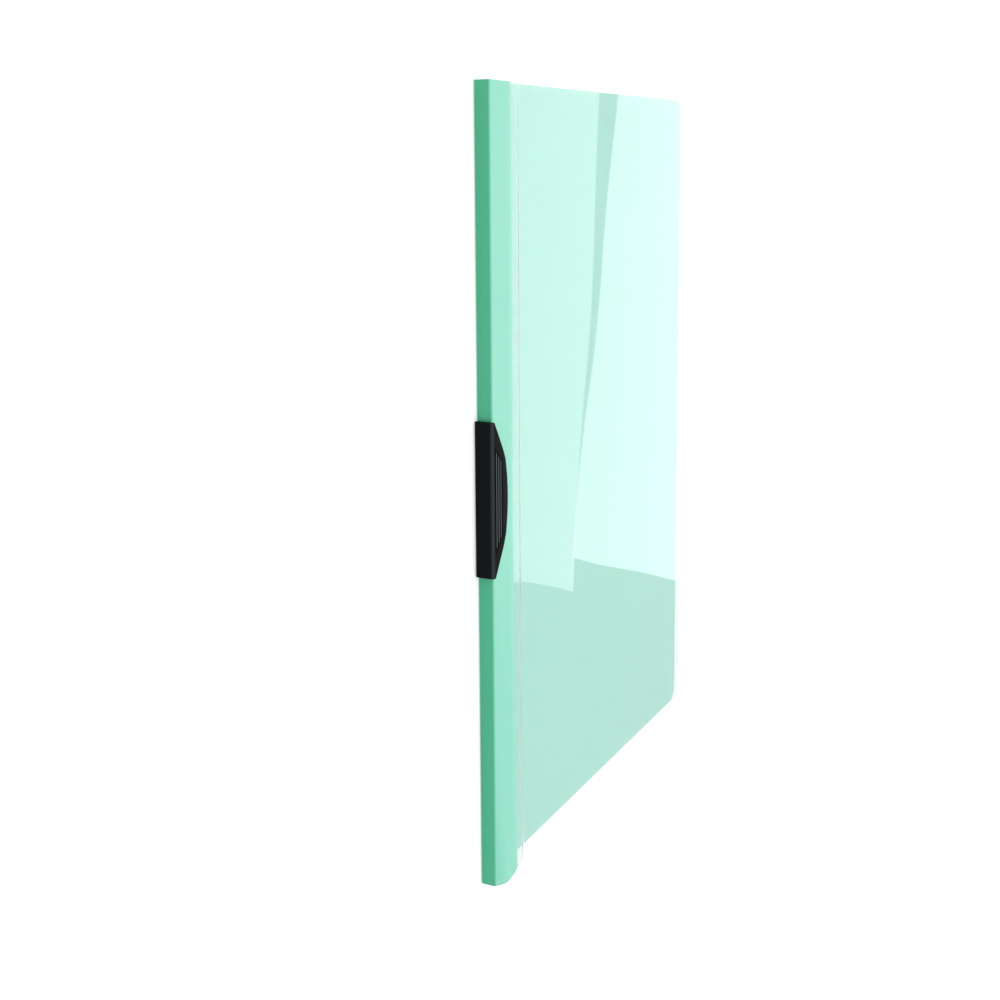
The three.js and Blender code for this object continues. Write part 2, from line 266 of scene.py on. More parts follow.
def face_outward(obj: bpy.types.Object) -> None:
    """Turns every face over if the closed mesh is inside out.

    The enclosed volume is a sixth of the sum, over the triangles, of the first corner dotted with the
    cross product of the other two. It is negative on a mesh that is inside out.

    Args:
        obj: a closed mesh.
    """
    mesh = obj.data
    mesh.calc_loop_triangles()
    corners = np.empty(len(mesh.loop_triangles) * 3, dtype=np.int32)
    mesh.loop_triangles.foreach_get("vertices", corners)
    places = np.empty(len(mesh.vertices) * 3, dtype=np.float32)
    mesh.vertices.foreach_get("co", places)
    tri = places.reshape(-1, 3).astype(float)[corners.reshape(-1, 3)]
    volume = np.einsum("ij,ij->i", tri[:, 0], np.cross(tri[:, 1], tri[:, 2])).sum() / 6
    if volume < 0:
        mesh.flip_normals()


class Combining(Enum):
    """What a boolean does with the other meshes."""

    CUT_OUT = "DIFFERENCE"
    UNITE = "UNION"


def combine(
    target: bpy.types.Object, others: Sequence[bpy.types.Object], how: Combining
) -> None:
    """Cuts closed meshes out of one, or unites them with it, for good, and removes them.

    Args:
        target: the closed mesh that is changed.
        others: the closed meshes that it is combined with.
        how: whether they are cut out or united.
    """
    for other in others:
        tool = target.modifiers.new(how.name, "BOOLEAN")
        tool.operation = how.value
        tool.solver = "EXACT"
        tool.object = other
    graph = bpy.context.evaluated_depsgraph_get()
    finished = bpy.data.meshes.new_from_object(target.evaluated_get(graph), depsgraph=graph)
    target.modifiers.clear()
    old = target.data
    target.data = finished
    finished.name = old.name
    bpy.data.meshes.remove(old)
    for other in others:
        bpy.data.objects.remove(other)


# Solids from distance fields


@dataclass(frozen=True)
class Grid:
    """The box and the steps that a distance field is sampled on, in folder millimetres."""

    low: tuple[float, float, float]
    high: tuple[float, float, float]
    step: tuple[float, float, float]

    def axes(self) -> list[Array]:
        """The sample places along x, y and z."""
        return [
            low + step * np.arange(int(math.ceil((high - low) / step)) + 1)
            for low, high, step in zip(self.low, self.high, self.step)
        ]


def round_and(a: Array, b: Array, radius: float) -> Array:
    """Intersection of two solids whose shared edge is rounded.

    Where both distances are within the radius of the surface, the result is the length of the two
    excesses over minus the radius, less the radius. Elsewhere it is the larger of the two.

    Args:
        a, b: signed distances, negative inside.
        radius: of the rounded edge.

    Returns:
        Signed distance of the intersection.
    """
    u = np.maximum(a + radius, 0.0)
    v = np.maximum(b + radius, 0.0)
    return np.minimum(np.maximum(a, b), -radius) + np.sqrt(u * u + v * v)


def round_or(a: Array, b: Array, radius: float) -> Array:
    """Union of two solids with a rounded inner corner, the mirror image of round_and.

    Args:
        a, b: signed distances, negative inside.
        radius: of the fillet.

    Returns:
        Signed distance of the union.
    """
    return -round_and(-a, -b, radius)


def slab(value: Array, low: float, high: float) -> Array:
    """Signed distance of the space between two parallel planes.

    Args:
        value: the coordinate across the planes.
        low, high: places of the planes.

    Returns:
        The larger of the distances past the two planes.
    """
    return np.maximum(low - value, value - high)


def from_hinge(x: Array, z: Array) -> Array:
    """Distance from the hinge's axis.

    Args:
        x, z: places.

    Returns:
        Millimetres.
    """
    return np.sqrt((x - SIZE.hinge_x) ** 2 + (z - SIZE.hinge_z) ** 2)


def past_lug(y: Array) -> Array:
    """How far a place lies past the ends of the nearer lug, negative within them.

    Args:
        y: places along the hinge.

    Returns:
        Millimetres.
    """
    return np.abs(np.abs(y) - SIZE.lug_centre) - SIZE.lug_half


@dataclass(frozen=True)
class DPlan:
    """A D-shaped plan: two slanted ends and a wide arc between their shoulders, all rounded."""

    start: float
    half: float
    shoulder_x: float
    shoulder_y: float
    reach: float
    end_round: float
    shoulder_round: float

    def distance(self, x: Array, y: Array) -> Array:
        """Signed distance of the plan.

        The arc passes through both shoulders and through its crest at the reach, so its radius is half
        of the sum of the squares of chord half and rise, over the rise.

        Args:
            x, y: places.

        Returns:
            The rounded intersection of the ends, the slants and the arc.
        """
        far = np.abs(y)
        run, drop = self.shoulder_x - self.start, self.half - self.shoulder_y
        slant = ((x - self.start) * drop + (far - self.half) * run) / math.hypot(run, drop)
        rise = self.reach - self.shoulder_x
        radius = (self.shoulder_y**2 + rise**2) / (2 * rise)
        arc = np.sqrt((x - (self.reach - radius)) ** 2 + y**2) - radius
        ends = round_and(slant, far - self.half, self.end_round)
        return round_and(ends, arc, self.shoulder_round)


def surface_of(
    name: str, grid: Grid, distance: Field, paint: dict[str, Field] | None = None
) -> bpy.types.Object:
    """Builds the zero surface of a distance field by surface nets.

    Each cell whose eight corners aren't all on one side gets one point, the mean of the places where
    the field crosses zero along the cell's twelve edges, found by linear interpolation. Each grid edge
    that the field crosses gets one quad through the four cells around it, turned by the sign at its
    first end. Two short steps along the field's gradient then bring every point onto the surface.

    Args:
        name: the piece's name.
        grid: box and steps of the samples.
        distance: the field, in folder millimetres, negative inside.
        paint: a function of place for each attribute, by its name.

    Returns:
        The closed object.
    """
    xs, ys, zs = grid.axes()
    value = distance(xs[:, None, None], ys[None, :, None], zs[None, None, :])
    value = np.broadcast_to(value, (len(xs), len(ys), len(zs))).copy()
    value[np.abs(value) < NEAR_ZERO] = NEAR_ZERO
    inside = value < 0
    cells = tuple(n - 1 for n in value.shape)
    total = np.zeros(cells + (3,))
    count = np.zeros(cells)
    coords = (xs, ys, zs)
    for axis in range(3):
        ahead = [slice(None)] * 3
        here = [slice(None)] * 3
        ahead[axis] = slice(1, None)
        here[axis] = slice(None, -1)
        v0, v1 = value[tuple(here)], value[tuple(ahead)]
        crossed = (v0 < 0) != (v1 < 0)
        share = np.where(crossed, v0 / np.where(crossed, v0 - v1, 1.0), 0.0)
        others = [a for a in range(3) if a != axis]
        for du in (0, 1):
            for dv in (0, 1):
                pick = [slice(None)] * 3
                pick[others[0]] = slice(du, du + cells[others[0]])
                pick[others[1]] = slice(dv, dv + cells[others[1]])
                hit = crossed[tuple(pick)]
                part = np.zeros(cells + (3,))
                part[..., axis] = share[tuple(pick)]
                part[..., others[0]] = du
                part[..., others[1]] = dv
                total += np.where(hit[..., None], part, 0.0)
                count += hit
    live = count > 0
    number = np.full(cells, -1, dtype=np.int64)
    number[live] = np.arange(int(live.sum()))
    index = np.argwhere(live)
    mean = total[live] / count[live][:, None]
    points = np.stack([coords[a][index[:, a]] + mean[:, a] * grid.step[a] for a in range(3)], axis=1)
    faces = []
    for axis in range(3):
        u, v = (axis + 1) % 3, (axis + 2) % 3
        ahead = [slice(1, -1)] * 3
        here = [slice(1, -1)] * 3
        ahead[axis] = slice(1, None)
        here[axis] = slice(None, -1)
        low, high = inside[tuple(here)], inside[tuple(ahead)]
        spots = np.argwhere(low != high)
        base = spots + np.array([0 if a == axis else 1 for a in range(3)])
        first = low[low != high]
        corners = []
        for du, dv in ((-1, -1), (0, -1), (0, 0), (-1, 0)):
            cell = base.copy()
            cell[:, u] += du
            cell[:, v] += dv
            corners.append(number[cell[:, 0], cell[:, 1], cell[:, 2]])
        quad = np.stack(corners, axis=1)
        faces.append(np.where(first[:, None], quad, quad[:, ::-1]))
    for _ in range(SETTLING_STEPS):
        points = step_to_surface(points, distance)
    x, y, z = points.T
    values = {key: value_at(x, y, z) for key, value_at in (paint or {}).items()}
    obj = make_object(name, row(x, y, z), np.concatenate(faces), values)
    face_outward(obj)
    return obj


def step_to_surface(points: Array, distance: Field) -> Array:
    """Moves points along a field's gradient by its value there.

    Args:
        points: folder millimetres, three columns.
        distance: the field.

    Returns:
        The points, each moved by about the longest move at most.
    """
    here = distance(points[:, 0], points[:, 1], points[:, 2])
    slope = np.empty_like(points)
    for axis in range(3):
        shifted = points.copy()
        shifted[:, axis] += PROBE
        slope[:, axis] = (distance(shifted[:, 0], shifted[:, 1], shifted[:, 2]) - here) / PROBE
    steep = np.maximum((slope**2).sum(axis=1), 0.25)
    travel = np.clip(-here / steep, -LONGEST_MOVE, LONGEST_MOVE)
    return points + slope * travel[:, None]


# Materials


def new_material(name: str) -> tuple[bpy.types.Material, bpy.types.ShaderNodeTree]:
    """Makes an empty node material.

    Args:
        name: what it is called.

    Returns:
        The material and its node tree.
    """
    material = bpy.data.materials.new(name)
    material.use_nodes = True
    material.node_tree.nodes.clear()
    return material, material.node_tree


def add(
    tree: bpy.types.ShaderNodeTree,
    kind: str,
    settings: dict[str, Any] | None = None,
    **links: Any,
) -> bpy.types.ShaderNode:
    """Adds a node, sets it and links it.

    Args:
        tree: where it goes.
        kind: the node's type.
        settings: properties of the node itself.
        links: a value or an output socket for each input, by its name with underscores for spaces, or
            by i and its number.

    Returns:
        The node.
    """
    node = tree.nodes.new(kind)
    for key, value in (settings or {}).items():
        setattr(node, key, value)
    for key, value in links.items():
        numbered = key[0] == "i" and key[1:].isdigit()
        socket = node.inputs[int(key[1:])] if numbered else node.inputs[key.replace("_", " ")]
        if isinstance(value, bpy.types.NodeSocket):
            tree.links.new(value, socket)
        else:
            socket.default_value = value
    return node


def mottled_gloss(
    tree: bpy.types.ShaderNodeTree,
    place: bpy.types.NodeSocket,
    width: float,
    coarse: float,
    level: float,
) -> bpy.types.NodeSocket:
    """Adds a roughness that changes slowly over the surface.

    Args:
        tree: where the nodes go.
        place: object coordinates.
        width: of a mottle, in millimetres.
        coarse: the noise's own roughness.
        level: the roughness that it changes about.

    Returns:
        The roughness.
    """
    scale = 1.0 / (width * MM)
    cloud = add(tree, "ShaderNodeTexNoise", Vector=place, Scale=scale, Detail=3.0, Roughness=coarse)
    rough = add(
        tree,
        "ShaderNodeMapRange",
        Value=cloud.outputs["Fac"],
        From_Min=0.3,
        From_Max=0.7,
        To_Min=level - 0.04,
        To_Max=level + 0.05,
    )
    return rough.outputs["Result"]


def fine_grain(
    tree: bpy.types.ShaderNodeTree,
    place: bpy.types.NodeSocket,
    width: float,
    strength: float,
    depth: float,
) -> bpy.types.NodeSocket:
    """Adds a fine relief of even grain.

    Args:
        tree: where the nodes go.
        place: object coordinates.
        width: a grain's width in millimetres.
        strength: share of the relief that shows.
        depth: of the relief, in millimetres.

    Returns:
        The bent normal.
    """
    grain = add(tree, "ShaderNodeTexNoise", Vector=place, Scale=1.0 / (width * MM), Detail=2.0)
    height = grain.outputs["Fac"]
    bump = add(tree, "ShaderNodeBump", Height=height, Strength=strength, Distance=depth * MM)
    return bump.outputs["Normal"]


class Finish(ABC):
    """A surface finish that can build its material."""

    title: ClassVar[str]

    @abstractmethod
    def build(self) -> bpy.types.Material:
        """Makes the material."""


@dataclass(frozen=True)
class SatinSheet(Finish):
    """Extruded polypropylene sheet: slightly translucent, satin, paler where it is creased or cut, with
    a painted highlight on its folds and painted shade on its spine.
    """

    title: ClassVar[str] = "extruded_satin_polypropylene"
    base: str = "#94E5CD"
    # colour of the painted shade on the spine and along the foot's cut end
    painted_shade: str = "#4CC599"
    # paler colour of stress whitening, and of the painted highlight on the folds
    whitening_and_highlight: str = "#B4F5DC"
    roughness: float = 0.34
    grain_mm: float = 0.35
    mottle_mm: float = 45.45

    def build(self) -> bpy.types.Material:
        """Makes the material.

        The colour runs from the base towards a darker colour by one attribute, which holds painted
        shade: on the spine, which faces away from the light, and in a thin line at the foot's cut end.
        It runs towards a paler colour by another attribute, which holds stress whitening at the folds
        and the strip's free edge, with a painted highlight on the folds. A fine noise gives the satin
        its grain.

        Returns:
            The finished material.
        """
        material, tree = new_material(self.title)
        place = add(tree, "ShaderNodeTexCoord").outputs["Object"]
        painted_shade = add(tree, "ShaderNodeAttribute", {"attribute_name": "painted_shade"}).outputs["Fac"]
        whitening_and_highlight = add(tree, "ShaderNodeAttribute", {"attribute_name": "whitening_and_highlight"}).outputs["Fac"]
        mix = {"data_type": "RGBA"}
        base, darker, paler = linear(self.base), linear(self.painted_shade), linear(self.whitening_and_highlight)
        # painted shade first, then whitening with the painted highlight
        shade = add(tree, "ShaderNodeMix", mix, Factor=painted_shade, i6=base, i7=darker)
        pale = add(tree, "ShaderNodeMix", mix, Factor=whitening_and_highlight, i6=shade.outputs[2], i7=paler)
        shader = add(
            tree,
            "ShaderNodeBsdfPrincipled",
            Base_Color=pale.outputs[2],
            Roughness=mottled_gloss(tree, place, self.mottle_mm, 0.6, self.roughness),
            IOR=1.49,
            Subsurface_Weight=0.25,
            Subsurface_Scale=0.0006,
            Normal=fine_grain(tree, place, self.grain_mm, 0.12, 0.05),
        )
        add(tree, "ShaderNodeOutputMaterial", Surface=shader.outputs["BSDF"])
        return material


@dataclass(frozen=True)
class ClearFilm(Finish):
    """Cast clear polypropylene film: glossy, with a milky haze. Its shadow lets the light through."""

    title: ClassVar[str] = "cast_clear_film"
    tint: str = "#F1FAFA"
    roughness: float = 0.012
    clearness: float = 0.82

    def build(self) -> bpy.types.Material:
        """Makes the material: hazy clear plastic for the eye, and a clear pane for shadow rays.

        Returns:
            The finished material.
        """
        material, tree = new_material(self.title)
        shader = add(
            tree,
            "ShaderNodeBsdfPrincipled",
            Base_Color=linear(self.tint),
            Roughness=self.roughness,
            IOR=1.49,
            Transmission_Weight=self.clearness,
        )
        pane = add(tree, "ShaderNodeBsdfTransparent", Color=linear(self.tint))
        ray = add(tree, "ShaderNodeLightPath")
        either = add(
            tree,
            "ShaderNodeMixShader",
            i0=ray.outputs["Is Shadow Ray"],
            i1=shader.outputs["BSDF"],
            i2=pane.outputs["BSDF"],
        )
        add(tree, "ShaderNodeOutputMaterial", Surface=either.outputs["Shader"])
        return material


@dataclass(frozen=True)
class MouldedBlack(Finish):
    """Injection-moulded black plastic with a spark-eroded texture."""

    title: ClassVar[str] = "moulded_black_plastic"
    base: str = "#17191A"
    # colour of the painted highlight on the rib crests and the rounded corner
    painted_highlight_colour: str = "#737C80"
    roughness: float = 0.6
    grain_mm: float = 0.16
    mottle_mm: float = 11.11

    def build(self) -> bpy.types.Material:
        """Makes the material.

        The texture is a fine noise, with a slow change of gloss over it. An attribute paints a
        highlight on the rib crests and the rounded corner, making them paler.

        Returns:
            The finished material.
        """
        material, tree = new_material(self.title)
        place = add(tree, "ShaderNodeTexCoord").outputs["Object"]
        # painted highlight on the rib crests and the rounded corner
        painted_highlight = add(tree, "ShaderNodeAttribute", {"attribute_name": "painted_highlight"}).outputs["Fac"]
        mix = {"data_type": "RGBA"}
        colour = add(
            tree, "ShaderNodeMix", mix, Factor=painted_highlight, i6=linear(self.base), i7=linear(self.painted_highlight_colour)
        )
        shader = add(
            tree,
            "ShaderNodeBsdfPrincipled",
            Base_Color=colour.outputs[2],
            Roughness=mottled_gloss(tree, place, self.mottle_mm, 0.5, self.roughness),
            IOR=1.5,
            Specular_IOR_Level=0.03,
            Normal=fine_grain(tree, place, self.grain_mm, 0.35, 0.02),
        )
        add(tree, "ShaderNodeOutputMaterial", Surface=shader.outputs["BSDF"])
        return material


@dataclass(frozen=True)
class DrawnWire(Finish):
    """Drawn steel wire, with fine marks along it."""

    title: ClassVar[str] = "drawn_steel_wire"
    base: str = "#C3C5C8"
    roughness: float = 0.28
    mark_mm: float = 0.11
    mark_length_mm: float = 8.33

    def build(self) -> bpy.types.Material:
        """Makes the material. The marks are a noise stretched along Y.

        Returns:
            The finished material.
        """
        material, tree = new_material(self.title)
        place = add(tree, "ShaderNodeTexCoord").outputs["Object"]
        across, lengthwise = 1.0 / (self.mark_mm * MM), 1.0 / (self.mark_length_mm * MM)
        along = add(tree, "ShaderNodeMapping", Vector=place, Scale=(across, lengthwise, across))
        marks = add(tree, "ShaderNodeTexNoise", Vector=along.outputs["Vector"], Scale=1.0, Detail=2.0)
        bump = add(
            tree, "ShaderNodeBump", Height=marks.outputs["Fac"], Strength=0.3, Distance=0.00001
        )
        shader = add(
            tree,
            "ShaderNodeBsdfPrincipled",
            Base_Color=linear(self.base),
            Metallic=1.0,
            Roughness=self.roughness,
            Normal=bump.outputs["Normal"],
        )
        add(tree, "ShaderNodeOutputMaterial", Surface=shader.outputs["BSDF"])
        return material


# Pieces


class Body(Enum):
    """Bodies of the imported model."""

    FOLDER = "folder"
    CLIP = "clip"
    COVER = "cover"


@dataclass
class Piece(ABC):
    """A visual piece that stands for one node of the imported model."""

    node: ClassVar[str]
    slot: ClassVar[str]
    body: ClassVar[Body]
    finish: Finish
    obj: bpy.types.Object | None = field(default=None, init=False)

    @abstractmethod
    def shape(self) -> bpy.types.Object:
        """Makes the mesh at its place in the row frame."""

    def attach(self, obj: bpy.types.Object) -> None:
        """Fixes the piece to its body.

        Args:
            obj: the finished piece.
        """
        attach(obj, self.body.value)

    def make(self) -> bpy.types.Object:
        """Makes the piece, gives it its finish and puts it on its body.

        Returns:
            The finished object.
        """
        self.obj = self.shape()
        self.obj.data.materials.clear()
        self.obj.data.materials.append(self.finish.build())
        self.attach(self.obj)
        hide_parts(self.node)
        mesh = self.obj.data
        logger.info("%s: %d points, %d faces", self.obj.name, len(mesh.vertices), len(mesh.polygons))
        return self.obj


def corner_edge(y: Array, edge: float) -> Array:
    """How far a cover reaches at each y: its edge, less the rounding near both ends.

    Args:
        y: places along the folder.
        edge: reach at mid-height.

    Returns:
        The edge less the corner radius, plus the height of the quarter circle at y.
    """
    past = np.clip(np.abs(y) - (SIZE.half - SIZE.corner), 0.0, SIZE.corner)
    return edge - SIZE.corner + np.sqrt(np.maximum(SIZE.corner**2 - past**2, 0.0))


def stations(middle: int, corner: int) -> Array:
    """Places along y, close together at the rounded corners.

    Args:
        middle: number of steps between the corners.
        corner: number of steps round each corner, at equal angles.

    Returns:
        Sorted values of y from foot to head.
    """
    straight = SIZE.half - SIZE.corner
    turn = SIZE.corner * np.sin(np.linspace(0.0, np.pi / 2, corner + 1))
    head = straight + turn
    return np.concatenate([-head[::-1], np.linspace(-straight, straight, middle + 1)[1:-1], head])


@dataclass
class FolderSheet(Piece):
    """Back cover, spine and strip: one folded sheet with its score lines, slots and rivet holes."""

    node: ClassVar[str] = "folder_sheet"
    slot: ClassVar[str] = "mint_polypropylene"
    body: ClassVar[Body] = Body.FOLDER
    score_width: float = 0.42
    strip_score_depth: float = 0.06
    spine_score_depth: float = 0.02
    # a thin line of painted shade along the foot's cut end: its width and strength
    cut_line: float = 0.5
    cut_shade: float = 0.5
    strip_pitch: float = 2.0
    spine_pitch: float = 1.65
    strip_margin: float = 1.5
    strip_scores: int = 7
    spine_scores: int = 3
    # paleness of the folds: stress whitening and a painted highlight
    rear_paleness: float = 0.9
    front_paleness: float = 0.25
    edge_paleness: float = 0.3
    edge_reach: float = 4.0
    front_shade: float = 0.12
    rivet_radius: float = 1.75
    slot_headroom: float = 0.3
    overshoot: float = 1.0

    def section(self) -> dict[str, Array]:
        """The sheet's middle line, unrolled, with its normals and attributes.

        The line runs along the back cover to the spine, turns a quarter circle, rises along the
        spine, turns again and runs along the strip. Every score line is a cosine-shaped dip in the
        outer face.

        Returns:
            Arrays of x, z, the two parts of the outward normal, the dip, the share of the way along the
            back cover, what lies on the strip, the paleness attribute (stress whitening, with a painted
            highlight on the folds) and the painted shade attribute.
        """
        t = SIZE.sheet
        r = SIZE.fold - t / 2
        back = np.concatenate([np.linspace(1.0, 0.1, 46), np.linspace(0.1, 0.0, 14)[1:]])
        back_x = SIZE.fold + back * (SIZE.back_width - SIZE.fold)
        turn = np.linspace(0.0, np.pi / 2, 11)[1:-1]
        rise = np.linspace(SIZE.fold, SIZE.spine - SIZE.fold, 66)
        run = np.linspace(SIZE.fold, SIZE.strip, 210)
        low = (SIZE.fold, SIZE.fold)
        high = (SIZE.fold, SIZE.spine - SIZE.fold)
        x = np.concatenate(
            [
                back_x,
                low[0] - r * np.sin(turn),
                np.full(len(rise), t / 2),
                high[0] - r * np.cos(turn),
                run,
            ]
        )
        z = np.concatenate(
            [
                np.full(len(back_x), t / 2),
                low[1] - r * np.cos(turn),
                rise,
                high[1] + r * np.sin(turn),
                np.full(len(run), SIZE.spine - t / 2),
            ]
        )
        flat_back, flat_spine, flat_strip = np.ones(len(back_x)), np.ones(len(rise)), np.ones(len(run))
        nx = np.concatenate([0 * flat_back, -np.sin(turn), -flat_spine, -np.cos(turn), 0 * flat_strip])
        nz = np.concatenate([-flat_back, -np.cos(turn), 0 * flat_spine, np.sin(turn), flat_strip])
        on_strip = nz > 0.999
        on_spine = nx < -0.999
        strip_lines = SIZE.strip - self.strip_margin - self.strip_pitch * np.arange(self.strip_scores)
        spine_lines = self.spine_pitch * np.arange(1, self.spine_scores + 1)
        across = np.abs(x[:, None] - strip_lines[None, :]).min(axis=1)
        up = np.abs(z[:, None] - spine_lines[None, :]).min(axis=1)
        gap = np.where(on_strip, across, np.where(on_spine, up, np.inf))
        wave = np.clip(gap / (self.score_width / 2), 0.0, 1.0)
        depth = np.where(on_strip, self.strip_score_depth, self.spine_score_depth)
        dip = depth * 0.5 * (1.0 + np.cos(np.pi * wave))
        # Both folds are paler: stress whitening with a painted highlight, strongest on the rear fold.
        most = 0.29
        folded = np.clip(1.0 - np.maximum(np.abs(nx), np.abs(nz)), 0.0, most) / most
        rear = z < SIZE.spine / 2
        pale_fold = np.where(rear, self.rear_paleness, self.front_paleness) * folded
        near_edge = smoothstep(SIZE.strip - self.edge_reach, SIZE.strip, x)
        free_edge = self.edge_paleness * near_edge * on_strip
        # Painted shade on the spine close under its front fold.
        near_front = smoothstep(SIZE.spine - 2.6, SIZE.spine - 1.2, z)
        front_shade = self.front_shade * near_front * on_spine
        return {
            "x": x,
            "z": z,
            "nx": nx,
            "nz": nz,
            "dip": dip,
            "back": np.concatenate([back, np.zeros(len(x) - len(back))]),
            "on_strip": on_strip,
            # stress whitening at the folds and free edge, with a painted highlight on the folds
            "whitening_and_highlight": pale_fold + free_edge,
            # painted shade: the spine faces away from the light
            "painted_shade": np.clip(-nx, 0.0, 1.0) + front_shade,
        }

    def shape(self) -> bpy.types.Object:
        """Sweeps the section from foot to head and cuts the slots and the rivet holes.

        At each y the back cover's points are scaled to its reach there, and the strip's are lifted by
        the flare. The strip's colour is darkened by painted shade in a thin line along its cut end at
        the foot.

        Returns:
            The closed sheet.
        """
        s = self.section()
        y = stations(middle=96, corner=14)
        reach = corner_edge(y, SIZE.back_width)
        x = np.where(s["back"] > 0, SIZE.fold + s["back"] * (reach[:, None] - SIZE.fold), s["x"])
        z = s["z"] + FLARE.share(y)[:, None] * np.where(s["on_strip"], FLARE.lift(s["x"]), 0.0)
        half = SIZE.sheet / 2
        outer_x, outer_z = x + s["nx"] * (half - s["dip"]), z + s["nz"] * (half - s["dip"])
        inner_x, inner_z = x - s["nx"] * half, z - s["nz"] * half
        ring_x = np.concatenate([outer_x, inner_x[:, ::-1]], axis=1)
        ring_z = np.concatenate([outer_z, inner_z[:, ::-1]], axis=1)
        ring_y = np.broadcast_to(y[:, None], ring_x.shape)
        # painted shade in a thin line along the cut end at the foot
        cut_end_shade = self.cut_shade * smoothstep(-self.cut_line, 0.0, -y - SIZE.half)[:, None]
        double = {
            "whitening_and_highlight": np.broadcast_to(np.concatenate([s["whitening_and_highlight"], s["whitening_and_highlight"][::-1]]), ring_x.shape),
            "painted_shade": np.concatenate([s["painted_shade"], s["painted_shade"][::-1]]) + cut_end_shade,
        }
        faces = tube_faces(*ring_x.shape)
        obj = make_object("folded_sheet", row(ring_x, ring_y, ring_z), faces, double)
        face_outward(obj)
        combine(obj, self.cutters(), Combining.CUT_OUT)
        return obj

    def cutters(self) -> list[bpy.types.Object]:
        """Makes what is cut out of the sheet.

        Returns:
            Closed meshes: two boxes for the lugs' slots and three cylinders for the rivet holes.
        """
        made = []
        past = self.overshoot
        top = SIZE.hinge_z + SIZE.lug_thickness / 2 + self.slot_headroom
        for side in (-1, 1):
            middle = side * SIZE.lug_centre
            foot = middle - SIZE.lug_half - SIZE.hinge_gap
            head = middle + SIZE.lug_half + SIZE.hinge_gap
            made.append(box_mesh((-past, foot, -past), (SIZE.fold, head, top)))
        for place in SIZE.rivets:
            profile = np.array([[self.rivet_radius, -past / 2], [self.rivet_radius, past]])
            made.append(turned("cutter", profile, place, "z", ROUND_STEPS))
        return made


def box_mesh(low: Sequence[float], high: Sequence[float]) -> bpy.types.Object:
    """A closed box between two corners in folder millimetres.

    Args:
        low, high: its corners.

    Returns:
        The object.
    """
    pick = np.array([[i & 1, (i >> 1) & 1, (i >> 2) & 1] for i in range(8)])
    corner = np.where(pick == 1, np.array(high), np.array(low))
    faces = [(0, 2, 3, 1), (4, 5, 7, 6), (0, 1, 5, 4), (2, 6, 7, 3), (0, 4, 6, 2), (1, 3, 7, 5)]
    obj = make_object("cutter", row(corner[:, 0], corner[:, 1], corner[:, 2]), faces)
    face_outward(obj)
    return obj


def turned(
    name: str, profile: Array, centre: Sequence[float], axis: str, around: int
) -> bpy.types.Object:
    """A closed turned solid.

    The profile's points, radius and height, are carried round the axis in equal steps, and each end
    is shut by a fan to a point on the axis.

    Args:
        name: the piece's name.
        profile: rows of radius and height along the axis.
        centre: where the axis passes and the heights start.
        axis: "y" or "z".
        around: number of steps.

    Returns:
        The object.
    """
    angle = np.arange(around) * 2 * np.pi / around
    u = profile[:, 0, None] * np.cos(angle)
    v = profile[:, 0, None] * np.sin(angle)
    w = np.broadcast_to(profile[:, 1, None], u.shape)
    ends = np.array([[0.0, 0.0, profile[0, 1]], [0.0, 0.0, profile[-1, 1]]])
    flat = np.concatenate([np.stack([u, v, w], axis=-1).reshape(-1, 3), ends])
    order = [0, 1, 2] if axis == "z" else [1, 2, 0]
    points = flat[:, order] + np.array(centre)
    rings = len(profile)
    spot = np.arange(around)
    after = (spot + 1) % around
    ring = np.arange(rings - 1)[:, None] * around
    a, b = ring + spot, ring + after
    c, d = b + around, a + around
    lower, upper = np.stack([a, b, c], axis=-1), np.stack([a, c, d], axis=-1)
    side = np.concatenate([lower.reshape(-1, 3), upper.reshape(-1, 3)])
    foot = np.stack([after, spot, np.full(around, rings * around)], axis=-1)
    top = (rings - 1) * around
    head = np.stack([top + spot, top + after, np.full(around, rings * around + 1)], axis=-1)
    obj = make_object(
        name, row(points[:, 0], points[:, 1], points[:, 2]), np.concatenate([side, foot, head])
    )
    face_outward(obj)
    return obj


@dataclass(frozen=True)
class LongWave:
    """A long sine wave in the film: its share of the height, its two lengths and its start."""

    share: float
    length_x: float
    length_y: float
    start: float

    def at(self, x: Array, y: Array) -> Array:
        """Its height at a place, in shares.

        Args:
            x, y: places on the film.

        Returns:
            The share times the sine of what both lengths and the start add up to.
        """
        return self.share * np.sin(x / self.length_x + y / self.length_y + self.start)


